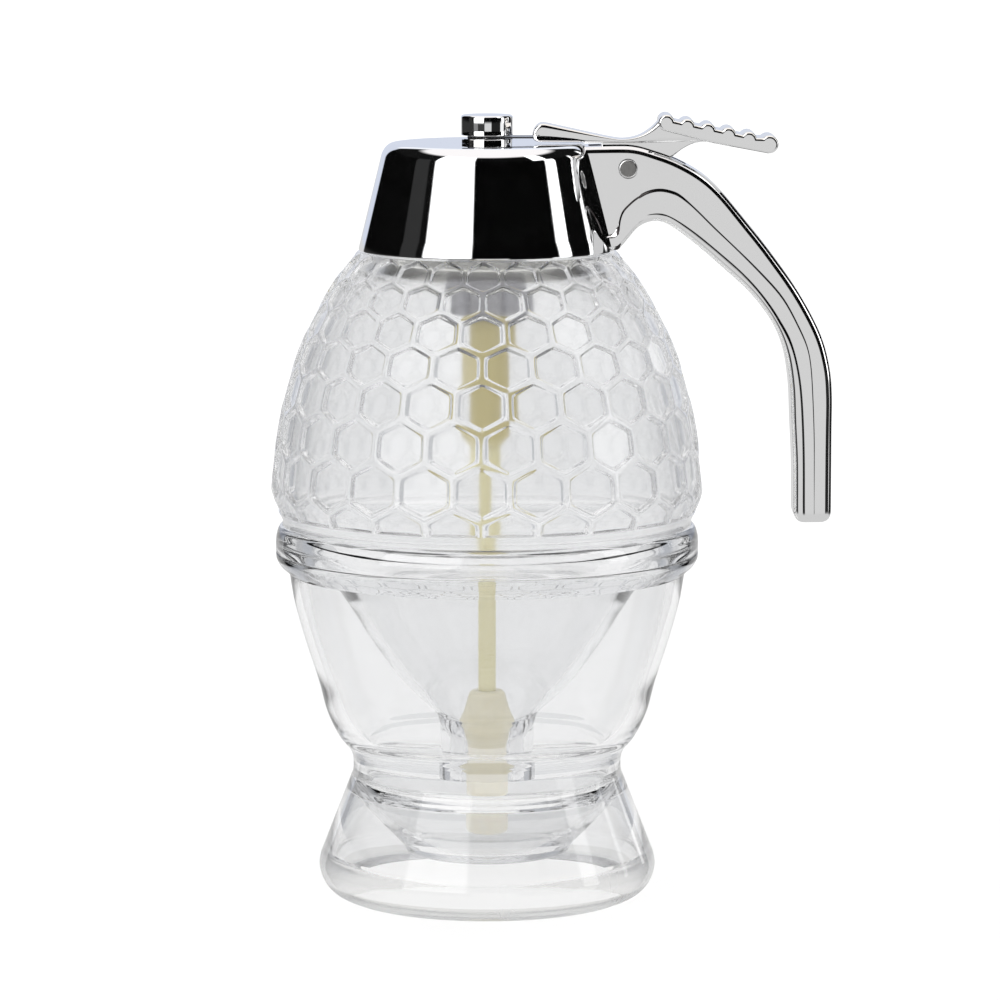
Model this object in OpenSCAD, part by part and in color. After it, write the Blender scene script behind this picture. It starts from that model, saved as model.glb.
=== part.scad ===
// Clear honey dispenser: a jar with a honeycomb wall and a funnel base hangs in a
// footed drip stand; a trigger on the lid's handle lifts a stopper rod.
// Millimetres, +Z up, origin on the jar's axis at the floor, handle towards +X.

/* [Jar] */
// Radius of the jar at its widest
jar_r = 45; // [44:0.1:45.5]
// Height of the parting line between the stand's rim and the jar's flange
part_z = 72.7; // [72.4:0.1:73]
// Wall of the jar, measured inside the relief
jar_wall = 3.3; // [2.6:0.1:4]
// Inner radius of the jar's threaded neck
neck_bore_r = 17.2; // [16:0.1:17.4]

/* [Stand] */
// Radius of the foot at its widest
foot_r = 35.3; // [34.5:0.1:36]
// Radius of the waist between foot and bowl
waist_r = 28.1; // [27.8:0.1:28.6]

/* [Lid] */
// Radius of the lid at its lower edge
lid_bottom_r = 26.7; // [26.4:0.1:27]
// Radius of the lid where the cone meets the rounded top edge
lid_top_r = 21.9; // [21.8:0.1:22.2]
// Height of the lid's flat top
lid_top_z = 157.8; // [157.8:0.1:158]
// Wall of the lid's cover
lid_wall = 1.2; // [1:0.05:1.3]
// Pitch of the lid's thread
thread_pitch = 4; // [3.6:0.1:4.4]

/* [Handle and trigger] */
// Thickness of the handle across the hand
handle_w = 12; // [11:0.5:14]
// Width of the trigger's thumb pad
pad_w = 12; // [10:0.5:14]
// Radius of the pivot pin
pin_r = 1.85; // [1.5:0.05:2]
// Radial clearance of the trigger on its pin
pin_gap = 0.05; // [0.02:0.01:0.08]
// Number of finger ridges on the thumb pad
ridges = 6; // [5:1:7]

/* [Plunger] */
// Radius of the thin part of the rod
rod_r = 1.85; // [1.6:0.05:2]
// Radius of the rod's guided upper part
guide_r = 4.75; // [4.4:0.05:4.9]
// Radial clearance of the guided part in its housing
guide_gap = 0.06; // [0.03:0.01:0.09]
// Radius of the steel lifting spindle
spindle_r = 1.5; // [1.3:0.05:1.6]
// Widest radius of the stopper
stopper_r = 6.2; // [6:0.05:6.3]
// Number of working turns in the return spring
spring_turns = 7; // [5:1:8]

/* [Hidden] */
$fn = 96;
e = 0.01;

// heights
shell_z = 78.6;        // seam between the flange and the honeycomb shell
shoulder_z = 135.4;    // shoulder under the lid
neck_top_z = 149.75;
lid_z = 135.7;
cone_z = 155.2;        // where the lid's cone ends
seat_z = 32.4;         // lower end of the stopper's seat
nozzle_r = 5.2;        // bore of the outlet
nozzle_z = 25.5;       // lower end of the outlet
liner_top_z = 152.4;
pivot = [29.1, 152.8]; // x and z of the pin
cone_tilt = atan((lid_bottom_r - lid_top_r) / (cone_z - lid_z));

// smooth curve through points, n steps a span
function cr(a, b, c, d, t) = 0.5 * (2 * b + (c - a) * t
    + (2 * a - 5 * b + 4 * c - d) * t * t + (3 * b - a - 3 * c + d) * t * t * t);
function curve(p, n = 5) = [for (i = [0 : len(p) - 2]) for (k = [0 : n - 1])
    cr(p[max(i - 1, 0)], p[i], p[i + 1], p[min(i + 2, len(p) - 1)], k / n),
    p[len(p) - 1]];
function arc(c, r, a0, a1, n = 8) =
    [for (i = [0 : n]) c + r * [cos(a0 + (a1 - a0) * i / n), sin(a0 + (a1 - a0) * i / n)]];
function lid_r(z) = lid_bottom_r - (lid_bottom_r - lid_top_r) * (z - lid_z) / (cone_z - lid_z);

module turned(p) { rotate_extrude() polygon(p); }
module tube(ro, ri, z0, z1) { turned([[ri, z0], [ro, z0], [ro, z1], [ri, z1]]); }
// plate drawn in x and z, w thick across y
module side_plate(p, w) { translate([0, w / 2, 0]) rotate([90, 0, 0]) linear_extrude(w) polygon(p); }

// helical ridge of trapezoid section: root radius, crest radius, root and crest half heights
module helix_ridge(r0, r1, h0, h1, z0, turns, pitch, start = 0, seg = 24) {
    n = round(turns * seg);
    function at(i, r, dz) = [r * cos(start + i * 360 / seg), r * sin(start + i * 360 / seg),
                             z0 + pitch * i / seg + dz];
    pts = [for (i = [0 : n]) each [at(i, r0, -h0), at(i, r1, -h1), at(i, r1, h1), at(i, r0, h0)]];
    s = r1 > r0 ? 1 : -1;
    quads = [for (i = [0 : n - 1]) for (j = [0 : 3])
        let (a = 4 * i + j, b = 4 * i + (j + 1) % 4, c = b + 4, d = a + 4) [a, b, c, d]];
    tris = [for (q = quads) each [[q[0], q[1], q[2]], [q[0], q[2], q[3]]]];
    caps = [[3, 2, 1], [3, 1, 0], [4 * n, 4 * n + 1, 4 * n + 2], [4 * n, 4 * n + 2, 4 * n + 3]];
    all = concat(tris, caps);
    polyhedron(pts, s > 0 ? all : [for (f = all) [f[2], f[1], f[0]]]);
}

// ---- stand ----
bowl_out = curve([[waist_r, 26.2], [waist_r, 29], [28.9, 31.2], [31.2, 34.1], [33.6, 39.2],
                  [35.3, 45.6], [38.0, 54], [40.2, 62], [41.3, 68.4]]);
bowl_in = curve([[38.9, part_z - 0.05], [38.6, 67.5], [37.2, 62], [35.1, 54], [32.4, 45.6],
                 [30.6, 39.8], [28.5, 35.8], [26.4, 33.5], [25.6, 31.6]]);
module stand_cup() {
    color([0.94, 0.95, 0.96, 0.5]) turned(concat(
        [[28.8, 0], [30.2, 0]],
        curve([[30.2, 0], [32.7, 1.2], [34.5, 3.4], [foot_r, 6.2], [foot_r - 0.35, 8.6]]),
        [[28.5, 25.2]], bowl_out,
        curve([[41.3, 68.4], [42.2, 69.1], [43.3, 70.2], [43.95, 71.4], [44.1, part_z - 0.3]]),
        [[43.9, part_z - 0.05]], bowl_in,
        curve([[25.6, 31.6], [25.5, 28], [25.4, 25], [24.7, 23.4]], 3),
        curve([[15.2, 11.9], [14.2, 10.9], [12.8, 10.5]], 3),
        [[0, 10.4], [0, 8.2]],
        curve([[15.6, 8.3], [17.1, 8.9], [17.8, 10.6]], 3),
        [[27.2, 21.8], [27.5, 21.7]],
        curve([[32.3, 9.4], [32.2, 8.2], [31.4, 6.6], [29.9, 3.4], [28.8, 0.9]], 3)));
}

// ---- jar: funnel base and honeycomb shell ----
funnel_out = curve([[9.9, 35], [10.15, 36.6], [11, 38.6], [14.5, 42.4], [18.9, 47.3], [24.1, 54.4],
                    [29.1, 61.6], [32.2, 66], [35.6, 70.2], [38.2, part_z - 0.7]]);
funnel_in = curve([[38.9, 77.1], [37.2, 74.4], [33.6, 70.2], [29.8, 65.6], [26.9, 61.6], [21.9, 54.6],
                   [16.8, 47.9], [12.4, 43], [9.4, 39.4], [8.3, 37.5]]);
module funnel_base() {
    color([0.93, 0.94, 0.96, 0.5]) turned(concat(
        [[nozzle_r, nozzle_z], [9.5, nozzle_z], [9.9, nozzle_z + 0.4]],
        funnel_out,
        [[38.3, part_z], [43.8, part_z], [44.1, part_z + 0.3], [44.1, part_z + 2.2]],
        curve([[44.1, part_z + 2.2], [43.8, 77.1], [43.2, 78.1], [42.7, shell_z]], 4),
        // rebate that takes the shell's tongue
        [[41.45, shell_z], [41.45, 77.1]],
        funnel_in,
        // conical seat of the stopper
        [[nozzle_r + 0.609 * (37.2 - seat_z), 37.2], [nozzle_r, seat_z]]));
}

hive_out = curve([[42.7, shell_z], [42.75, 79.7], [43.5, 81.2], [jar_r - 0.6, 83.2],
    [jar_r - 0.1, 85.3], [jar_r, 87.4], [jar_r - 0.45, 91.8], [jar_r - 1.3, 97.9],
    [jar_r - 2.55, 104.2], [jar_r - 4.3, 110.5], [jar_r - 6.6, 116.8], [jar_r - 9.6, 123],
    [jar_r - 13.4, 129.4], [28.3, 133.6], [27.3, shoulder_z - 0.5]]);
hive_in = curve([[jar_r - jar_wall - 1.4, 80.2], [jar_r - jar_wall - 0.3, 84],
    [jar_r - jar_wall, 87.4], [jar_r - jar_wall - 0.5, 92], [jar_r - jar_wall - 1.4, 97.9],
    [jar_r - jar_wall - 2.7, 104.2], [jar_r - jar_wall - 4.5, 110.5],
    [jar_r - jar_wall - 6.9, 116.8], [jar_r - jar_wall - 10.3, 123], [26.9, 128.6],
    [22.4, 131.9], [18.6, 133.7], [neck_bore_r, 135.6]]);
module hive_shell() {
    color([0.92, 0.93, 0.95, 0.5]) union() {
        turned(concat(
            hive_out, [[26.7, shoulder_z], [19, shoulder_z], [19, neck_top_z - 0.4],
                      [18.6, neck_top_z], [neck_bore_r + 0.2, neck_top_z], [neck_bore_r, neck_top_z - 0.2]],
            [for (i = [len(hive_in) - 1 : -1 : 0]) hive_in[i]],
            [[jar_r - jar_wall - 1.7, 77.2], [41.35, 77.2], [41.35, shell_z]]));
        helix_ridge(18.5, 20.3, 1.1, 0.5, 138.2, 1.5, thread_pitch);
    }
}

// ---- lid ----
module lid_seal() {
    color([0.95, 0.95, 0.93]) tube(20.2, 17.4, neck_top_z + 0.1, 150.85);
}

module lid_body(g) { // the cover's outer form, grown by g
    turned(concat([[0, lid_z - 2], [lid_r(lid_z - 2) + g, lid_z - 2]],
        curve([[lid_top_r + g, cone_z], [21.4 + g, 156.5], [20.6 + g, 157.4 + g], [19.4, lid_top_z + g]], 4),
        [[0, lid_top_z + g]]));
}
module lid_cover() {
    color([0.78, 0.79, 0.81]) difference() {
        union() {
            turned(concat([[lid_bottom_r - lid_wall, lid_z], [lid_bottom_r - 0.25, lid_z], [lid_r(lid_z + 0.25), lid_z + 0.25]],
                curve([[lid_top_r, cone_z], [21.4, 156.5], [20.6, 157.4], [19.4, lid_top_z]], 4),
                [[3.2, lid_top_z], [3.2, 156.6], [18.6, 156.6], [20.2, 155.9], [lid_top_r - lid_wall - 0.1, 154.6]]));
            // boss that holds the spring housing down
            tube(9.4, 7.6, 153.55, 156.6 + e);
            // three bosses for the liner's screws
            for (a = [60, 180, 300]) rotate(a) translate([14, 0, liner_top_z + 0.02])
                cylinder(r = 2.4, h = 156.7 - liner_top_z);
        }
        for (a = [60, 180, 300]) rotate(a) translate([14, 0, liner_top_z - 1])
            cylinder(r = 1.06, h = 4.2, $fn = 32);
        // two holes for the handle's screws
        for (z = [139.6, 144.6]) translate([lid_r(z), 0, z]) rotate([0, 90 - cone_tilt, 0])
            translate([0, 0, -4]) cylinder(r = 1.35, h = 6, $fn = 32);
    }
}
module lid_liner() {
    color([0.93, 0.93, 0.9]) difference() {
        union() {
            turned([[20.6, 136.4], [21.4, 136.4], [21.4, 150.4], [20.9, liner_top_z], [8.75, liner_top_z],
                    [8.75, 150.95], [20.6, 150.95]]);
            helix_ridge(21.0, 19.35, 1.0, 0.45, 138.2 + thread_pitch * 0.75, 1.25, thread_pitch, 90);
        }
        for (a = [60, 180, 300]) rotate(a) translate([14, 0, 150])
            cylinder(r = 1.3, h = 4, $fn = 32);
    }
}
module liner_screws() {
    color([0.7, 0.7, 0.72]) for (a = [60, 180, 300]) rotate(a) translate([14, 0, 0]) difference() {
        union() {
            turned([[0, 149.75], [1.6, 149.75], [2.1, 150.3], [2.1, 150.92], [0, 150.92]]);
            translate([0, 0, 150.9]) cylinder(r = 1.0, h = 4.4, $fn = 32);
        }
        for (q = [0, 90]) rotate(q) translate([-1.1, -0.25, 149.6]) cube([2.2, 0.5, 0.8]);
    }
}
module spring_housing() {
    color([0.72, 0.73, 0.75]) turned(concat(
        [[guide_r + guide_gap, 123], [8.1, 123], [8.6, 123.5], [8.6, liner_top_z + 0.05],
         [11, liner_top_z + 0.05], [11, 153.5], [7.6, 153.5], [7.6, 125.2], [guide_r + guide_gap, 125.2]]));
}
module guide_bush() {
    color([0.8, 0.72, 0.45]) turned([[spindle_r + 0.06, 152.1], [6.9, 152.1], [6.9, 153.45], [3.1, 153.45],
        [3.1, 158.6], [spindle_r + 0.06, 158.6]]);
}
module collar_nut() {
    color([0.8, 0.81, 0.83])
        turned([[3.12, lid_top_z + 0.02], [5.4, lid_top_z + 0.02], [5.4, 158.6], [5.25, 158.75], [3.12, 158.75]]);
}

// ---- handle ----
handle_outer = curve([[30.6, 157.2], [34, 156.3], [39, 154.5], [44.2, 151.6], [48.3, 148], [53.5, 141.8],
    [58.6, 135.4], [64.4, 127.2], [68.9, 118.8], [70.9, 112], [71.5, 106], [71.5, 98], [71.5, 84]], 4);
handle_inner = curve([[63.7, 83], [63.6, 92], [63.2, 100], [62.8, 108], [61.6, 115], [59, 121],
    [54.5, 127], [48, 133], [42.6, 137.6], [38.4, 140.7], [35.8, 141.9], [33.4, 141.8],
    [31.2, 140.7], [29.3, 138.6], [27.7, 135.95]], 4);
module handle() {
    color([0.8, 0.8, 0.82]) difference() {
        side_plate(concat([[18, 157.2], [27, 157.4]], handle_outer,
            arc([69.6, 80.9], 1.9, 0, -90, 4), arc([65.5, 80.8], 1.8, -90, -180, 4),
            handle_inner, [[20, 135.95]]), handle_w);
        lid_body(0.03);
        // slot for the trigger's tongue, and the pin's bore
        side_plate(concat([[41.8, 160], [21, 160], [21, 150.6]],
            curve([[24.4, 148.7], [29.1, 147.9], [33.4, 148.7], [37, 150.9], [41, 152.2]], 4)), 5.2);
        translate([pivot[0], 0, pivot[1]]) rotate([90, 0, 0])
            cylinder(r = pin_r + 0.01, h = handle_w + 4, center = true, $fn = 64);
        for (z = [139.6, 144.6]) translate([lid_r(z), 0, z]) rotate([0, 90 - cone_tilt, 0])
            translate([0, 0, -1]) cylinder(r = 1.22, h = z > 142 ? 8.5 : 4.5, $fn = 32);
    }
}
module handle_screws() {
    color([0.7, 0.7, 0.72]) for (z = [139.6, 144.6])
        translate([lid_r(z), 0, z]) rotate([0, 90 - cone_tilt, 0]) difference() {
            union() {
                translate([0, 0, -lid_wall - 1.35]) cylinder(r = 2.2, h = 1.1, $fn = 48);
                translate([0, 0, -lid_wall - 0.3]) cylinder(r = 1.2, h = lid_wall + (z > 142 ? 7.3 : 3.3), $fn = 32);
            }
            for (q = [0, 90]) rotate(q) translate([-1.1, -0.25, -lid_wall - 1.5]) cube([2.2, 0.5, 0.8]);
        }
}
module pivot_pin() {
    color([0.62, 0.62, 0.63]) translate([pivot[0], 0, pivot[1]]) rotate([90, 0, 0])
        cylinder(r = pin_r, h = handle_w, center = true, $fn = 64);
}

// ---- trigger ----
pad_start = [37.0, 162.2];
pad_end = [58.2, 157.8];
function pad_at(t) = pad_start + (pad_end - pad_start) * t;
pad_dir = atan2(pad_end[1] - pad_start[1], pad_end[0] - pad_start[0]);
module trigger_lever() {
    w_arm = 7; w_tongue = 4.6;
    color([0.82, 0.82, 0.84]) difference() {
        union() {
            // front arm and upper stem
            side_plate(concat([[10.6, 158.15]],
                curve([[10.6, 158.15], [9.7, 158.6], [9.45, 159.6], [9.9, 160.9], [10.9, 161.8], [12, 161.9]], 4),
                curve([[12, 161.9], [18, 160.6], [26, 158.9], [29, 158.75], [31.8, 159.5], [34.3, 161.2], [36, 163.2]], 4),
                [[44, 161], [47, 158.6], [43.5, 158.3], [36, 158.1], [31, 157.95], [24, 158.05]]), w_arm);
            // tongue that turns on the pin, running up into the pad
            side_plate(concat([[23.6, 158.5], [23.6, 153.2], [24.6, 151.2], [25.6, 150.3]],
                arc(pivot, 4.3, 215, 325, 10), [[36.2, 153.2]],
                curve([[38.5, 155.2], [40.6, 156.8], [43.2, 157.95], [46.6, 158.2]], 4),
                [[47, 159.5], [36, 160.5], [30, 158.6]]), w_tongue);
            // thumb pad with its ridges
            side_plate([[36.2, 160.9], [46.4, 158.1], [58.2, 155.8], [58.9, 158.4], [37.2, 162.9]], pad_w);
            for (i = [0 : ridges - 1]) translate([pad_at(i / (ridges - 1))[0], 0, pad_at(i / (ridges - 1))[1]])
                rotate([90, 0, 0]) cylinder(r = i == ridges - 1 ? 1.85 : 1.7, h = pad_w, center = true, $fn = 48);
        }
        translate([pivot[0], 0, pivot[1]]) rotate([90, 0, 0])
            cylinder(r = pin_r + pin_gap, h = 20, center = true, $fn = 64);
        // slit that holds the lifting fork
        translate([8, -3.35, 158.83]) cube([6.6, 6.7, 0.4]);
    }
}
module lift_fork() {
    color([0.6, 0.6, 0.62]) translate([0, 0, 158.88]) linear_extrude(0.3)
        polygon([[14.5, -3.3], [-3, -3.3], [-4, -2.6], [-4, -1.85], [3.2, -1.85], [3.8, -1.2], [3.8, 1.2],
                 [3.2, 1.85], [-4, 1.85], [-4, 2.6], [-3, 3.3], [14.5, 3.3]]);
}

// ---- plunger ----
module plunger_rod() {
    color([0.86, 0.83, 0.66]) difference() {
        turned([[0, 34.6], [rod_r - 0.5, 34.6], [rod_r, 35.2], [rod_r, 94.6], [guide_r - 0.8, 96.6],
                [guide_r, 97.4], [guide_r, 127.6], [6.6, 127.6], [6.6, 129.4], [0, 129.4]]);
        translate([0, 0, 112]) cylinder(r = spindle_r, h = 20);
    }
}
module lift_spindle() {
    color([0.75, 0.75, 0.77]) turned([[0, 112.2], [spindle_r - 0.02, 112.2], [spindle_r - 0.02, 129.4],
        [spindle_r, 129.6], [spindle_r, 162.2], [0, 162.2]]);
}
module lift_knob() {
    color([0.82, 0.82, 0.84]) difference() {
        turned(concat([[0, 159.4], [5.2, 159.4], [5.4, 159.6]],
            curve([[5.4, 162.6], [5.2, 163.25], [4.6, 163.6]], 3), [[0, 163.6]]));
        translate([0, 0, 159]) cylinder(r = spindle_r + 0.01, h = 3.3);
    }
}
module stopper() {
    color([0.9, 0.88, 0.78]) difference() {
        turned(concat([[0, 13.6]], curve([[1.6, 13.7], [3.4, 14.4], [4.25, 15.8]], 3),
            [[4.35, 17.5], [4.35, 30.6], [stopper_r - 1.45, 34.25 - 1.45 / 0.609], [stopper_r, 34.25]],
            curve([[stopper_r, 34.25], [5.9, 36.2], [4.7, 39.8], [3.5, 44]], 3), [[0, 44]]));
        translate([0, 0, 34.4]) cylinder(r = rod_r, h = 10);
        translate([0, 0, -0.5]) turned([[0, 34.8], [rod_r - 0.48, 34.8], [rod_r, 35.4], [rod_r, 36], [0, 36]]);
    }
}
module return_spring() {
    seg = 18; wire = 0.45; r = 5.2; m = 6;
    z0 = 129.4 + wire + 0.05; z1 = 152.1 - wire - 0.05;
    turns = spring_turns + 1.5;
    n = round(turns * seg);
    // end coils lie nearly flat, the working coils share the rest
    function zt(i) = let (t = i * 360 / seg / 360) t < 0.75 ? z0 + t / 0.75 * 2 * wire
        : t > turns - 0.75 ? z1 - (turns - t) / 0.75 * 2 * wire
        : z0 + 2 * wire + (z1 - z0 - 4 * wire) * (t - 0.75) / (turns - 1.5);
    function ring(i) = [for (j = [0 : m - 1]) let (a = i * 360 / seg, b = j * 360 / m)
        [(r + wire * cos(b)) * cos(a), (r + wire * cos(b)) * sin(a), zt(i) + wire * sin(b)]];
    pts = [for (i = [0 : n]) each ring(i)];
    tris = [for (i = [0 : n - 1]) for (j = [0 : m - 1])
        let (a = m * i + j, b = m * i + (j + 1) % m) each [[a, a + m, b + m], [a, b + m, b]]];
    caps = concat([for (j = [1 : m - 2]) [0, j, j + 1]], [for (j = [1 : m - 2]) [m * n, m * n + j + 1, m * n + j]]);
    color([0.7, 0.71, 0.73]) polyhedron(pts, concat(tris, caps));
}

stand_cup();
funnel_base();
hive_shell();
lid_seal();
lid_cover();
lid_liner();
liner_screws();
spring_housing();
guide_bush();
collar_nut();
handle();
handle_screws();
pivot_pin();
trigger_lever();
lift_fork();
plunger_rod();
lift_spindle();
lift_knob();
stopper();
return_spring();
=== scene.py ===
"""Clear honey dispenser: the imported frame, dressed with detailed meshes and procedural materials.
Meshes are drawn in millimetres, in the frame of the CAD model, and scaled to metres at the end."""
import math

import bmesh
import bpy
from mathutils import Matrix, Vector


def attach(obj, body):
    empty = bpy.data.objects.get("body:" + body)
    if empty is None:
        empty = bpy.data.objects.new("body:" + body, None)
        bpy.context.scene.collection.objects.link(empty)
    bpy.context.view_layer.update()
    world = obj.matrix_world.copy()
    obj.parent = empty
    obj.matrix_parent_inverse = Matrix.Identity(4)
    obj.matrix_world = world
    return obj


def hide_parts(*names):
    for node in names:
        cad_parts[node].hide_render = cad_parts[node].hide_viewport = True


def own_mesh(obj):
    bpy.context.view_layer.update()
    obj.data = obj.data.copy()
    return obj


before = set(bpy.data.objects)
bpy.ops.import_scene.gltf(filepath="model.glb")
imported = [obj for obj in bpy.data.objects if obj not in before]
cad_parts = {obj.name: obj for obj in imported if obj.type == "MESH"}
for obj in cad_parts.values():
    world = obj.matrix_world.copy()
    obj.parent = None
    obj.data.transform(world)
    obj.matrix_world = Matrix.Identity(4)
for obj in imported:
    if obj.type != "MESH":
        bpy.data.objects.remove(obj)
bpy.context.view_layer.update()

# ------------------------------------------------------------------ small tools


def curve(p, n=10):
    """Smooth curve through the points, n steps a span, ends clamped."""
    out, m = [], len(p)
    for i in range(m - 1):
        a, b, c, d = p[max(i - 1, 0)], p[i], p[i + 1], p[min(i + 2, m - 1)]
        for k in range(n):
            t = k / n
            out.append(tuple(0.5 * (2 * b[j] + (c[j] - a[j]) * t
                                    + (2 * a[j] - 5 * b[j] + 4 * c[j] - d[j]) * t * t
                                    + (3 * b[j] - a[j] - 3 * c[j] + d[j]) * t ** 3)
                             for j in range(len(b))))
    out.append(tuple(p[-1]))
    return out


def at(p, u):
    """Point of the same curve at the fractional place u."""
    m = len(p)
    u = min(max(u, 0.0), m - 1.0)
    i = min(int(u), m - 2)
    t = u - i
    a, b, c, d = p[max(i - 1, 0)], p[i], p[i + 1], p[min(i + 2, m - 1)]
    return tuple(0.5 * (2 * b[j] + (c[j] - a[j]) * t
                        + (2 * a[j] - 5 * b[j] + 4 * c[j] - d[j]) * t * t
                        + (3 * b[j] - a[j] - 3 * c[j] + d[j]) * t ** 3) for j in range(len(b)))


def bezier(p0, p1, p2, p3, n):
    out = []
    for i in range(n + 1):
        t = i / n
        s = 1 - t
        out.append(tuple(s ** 3 * a + 3 * s * s * t * b + 3 * s * t * t * c + t ** 3 * d
                         for a, b, c, d in zip(p0, p1, p2, p3)))
    return out


def arc(c, r, a0, a1, n=8):
    return [(c[0] + r * math.cos(math.radians(a0 + (a1 - a0) * i / n)),
             c[1] + r * math.sin(math.radians(a0 + (a1 - a0) * i / n))) for i in range(n + 1)]


def fillet(p, q, s, r, n=5):
    """Replaces the corner q between p and s by an arc of radius r."""
    v1, v2 = Vector(p) - Vector(q), Vector(s) - Vector(q)
    u1, u2 = v1.normalized(), v2.normalized()
    half = u1.angle(u2) / 2
    t = r / math.tan(half)
    a, b = Vector(q) + u1 * t, Vector(q) + u2 * t
    c = Vector(q) + (u1 + u2).normalized() * (r / math.sin(half))
    a0 = math.atan2(a.y - c.y, a.x - c.x)
    a1 = math.atan2(b.y - c.y, b.x - c.x)
    while a1 - a0 > math.pi:
        a1 -= 2 * math.pi
    while a1 - a0 < -math.pi:
        a1 += 2 * math.pi
    return [(c.x + r * math.cos(a0 + (a1 - a0) * i / n), c.y + r * math.sin(a0 + (a1 - a0) * i / n))
            for i in range(n + 1)]


def smoothstep(a, b, x):
    t = min(max((x - a) / (b - a), 0.0), 1.0)
    return t * t * (3 - 2 * t)


def lerp_table(tab, x):
    if x <= tab[0][0]:
        return tab[0][1]
    for (x0, y0), (x1, y1) in zip(tab, tab[1:]):
        if x <= x1:
            return y0 + (y1 - y0) * (x - x0) / (x1 - x0)
    return tab[-1][1]


def tidy(prof):
    out = []
    for q in prof:
        if not out or math.dist(q, out[-1]) > 2e-3:
            out.append((float(q[0]), float(q[1])))
    if math.dist(out[0], out[-1]) < 2e-3:
        out.pop()
    area = sum(a[0] * b[1] - b[0] * a[1] for a, b in zip(out, out[1:] + out[:1]))
    return out if area > 0 else out[::-1]


def ring(bm, r, z, seg, start=0.0):
    if r < 1e-6:
        return [bm.verts.new((0, 0, z))]
    return [bm.verts.new((r * math.cos(start + 2 * math.pi * i / seg),
                          r * math.sin(start + 2 * math.pi * i / seg), z)) for i in range(seg)]


def skin(bm, a, b):
    """Faces between two rings, outward when b follows a on a counter-clockwise section."""
    n = max(len(a), len(b))
    if n == 1:
        return
    for i in range(n):
        j = (i + 1) % n
        if len(a) == 1:
            bm.faces.new((a[0], b[j], b[i]))
        elif len(b) == 1:
            bm.faces.new((a[i], a[j], b[0]))
        else:
            bm.faces.new((a[i], a[j], b[j], b[i]))


def turned(bm, prof, seg, closed=True):
    prof = tidy(prof) if closed else prof
    rings = [ring(bm, r, z, seg) for r, z in prof]
    for a, b in zip(rings, rings[1:] + (rings[:1] if closed else [])):
        skin(bm, a, b)
    return rings


def new_object(name, bm):
    me = bpy.data.meshes.new(name)
    bm.to_mesh(me)
    bm.free()
    obj = bpy.data.objects.new(name, me)
    bpy.context.scene.collection.objects.link(obj)
    return obj


def lathe(name, prof, seg=192):
    bm = bmesh.new()
    turned(bm, prof, seg)
    return new_object(name, bm)


def boolean(obj, cutter, op):
    mod = obj.modifiers.new("cut", "BOOLEAN")
    mod.operation = op
    mod.solver = "MANIFOLD"
    mod.object = cutter
    bpy.context.view_layer.update()
    dg = bpy.context.evaluated_depsgraph_get()
    me = bpy.data.meshes.new_from_object(obj.evaluated_get(dg))
    obj.modifiers.clear()
    old = obj.data
    obj.data = me
    bpy.data.meshes.remove(old)
    bpy.data.objects.remove(cutter)
    return obj


def inset(poly, d, scale=None):
    """Outline moved inward by d, times scale(x, z) where given; poly is counter-clockwise."""
    out, n = [], len(poly)
    for i in range(n):
        p, q, s = poly[i - 1], poly[i], poly[(i + 1) % n]
        e1, e2 = Vector((q[0] - p[0], q[1] - p[1])), Vector((s[0] - q[0], s[1] - q[1]))
        if e1.length < 1e-9 or e2.length < 1e-9:
            out.append(q)
            continue
        e1.normalize(); e2.normalize()
        n1, n2 = Vector((-e1.y, e1.x)), Vector((-e2.y, e2.x))
        m = n1 + n2
        k = (d * scale(*q) if scale else d) / max(1 + n1.dot(n2), 0.45)
        out.append((q[0] + m.x * k, q[1] + m.y * k))
    return out


def chaikin(poly, times=1, cut=0.25):
    for _ in range(times):
        out = []
        for a, b in zip(poly, poly[1:] + poly[:1]):
            out.append((a[0] + (b[0] - a[0]) * cut, a[1] + (b[1] - a[1]) * cut))
            out.append((a[0] + (b[0] - a[0]) * (1 - cut), a[1] + (b[1] - a[1]) * (1 - cut)))
        poly = out
    return poly


def plate(name, outline, w, r=0.0, steps=4, y0=0.0, scale=None):
    """Flat casting w thick across y, with edges rounded to r; outline in x and z."""
    p = tidy(outline)
    h = w / 2
    layers = []
    if r > 0:
        for i in range(steps, -1, -1):
            t = math.pi / 2 * i / steps
            layers.append((r * (1 - math.cos(t)), h - r + r * math.sin(t)))
        layers.insert(0, (r + 0.1, h))
        layers = [(d, -y) for d, y in layers] + [(d, y) for d, y in layers[::-1]]
    else:
        layers = [(0, -h), (0, h)]
    bm = bmesh.new()
    rings = [[bm.verts.new((x, y + y0, z)) for x, z in (inset(p, d, scale) if d else p)]
             for d, y in layers]
    n = len(p)
    for a, b in zip(rings, rings[1:]):
        for i in range(n):
            j = (i + 1) % n
            bm.faces.new((a[j], a[i], b[i], b[j]))
    bm.faces.new(rings[0])
    bm.faces.new(rings[-1][::-1])
    bmesh.ops.recalc_face_normals(bm, faces=bm.faces)
    return new_object(name, bm)


def rod_y(name, x, z, r, w, seg=64):
    return plate(name, arc((x, z), r, 0, 360 - 360 / seg, seg - 1), w)


def done(obj, body, material, nodes=(), sharp=30, weighted=False, glass=False):
    """Scales a piece to metres, shades it and puts it on its body."""
    if glass:  # clear plastic throws no shadow on the rod and the floor
        obj.visible_shadow = False
        obj.visible_diffuse = False
    for v in obj.data.vertices:
        v.co *= 0.001
    me = obj.data
    me.materials.clear()
    me.materials.append(material)
    for f in me.polygons:
        f.use_smooth = True
        f.material_index = 0
    me.set_sharp_from_angle(angle=math.radians(sharp))
    me.update()
    if weighted:
        w = obj.modifiers.new("normals", "WEIGHTED_NORMAL")
        w.keep_sharp = True
        w.weight = 80
    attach(obj, body)
    if nodes:
        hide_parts(*nodes)
    return obj


# ------------------------------------------------------------------ materials

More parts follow.
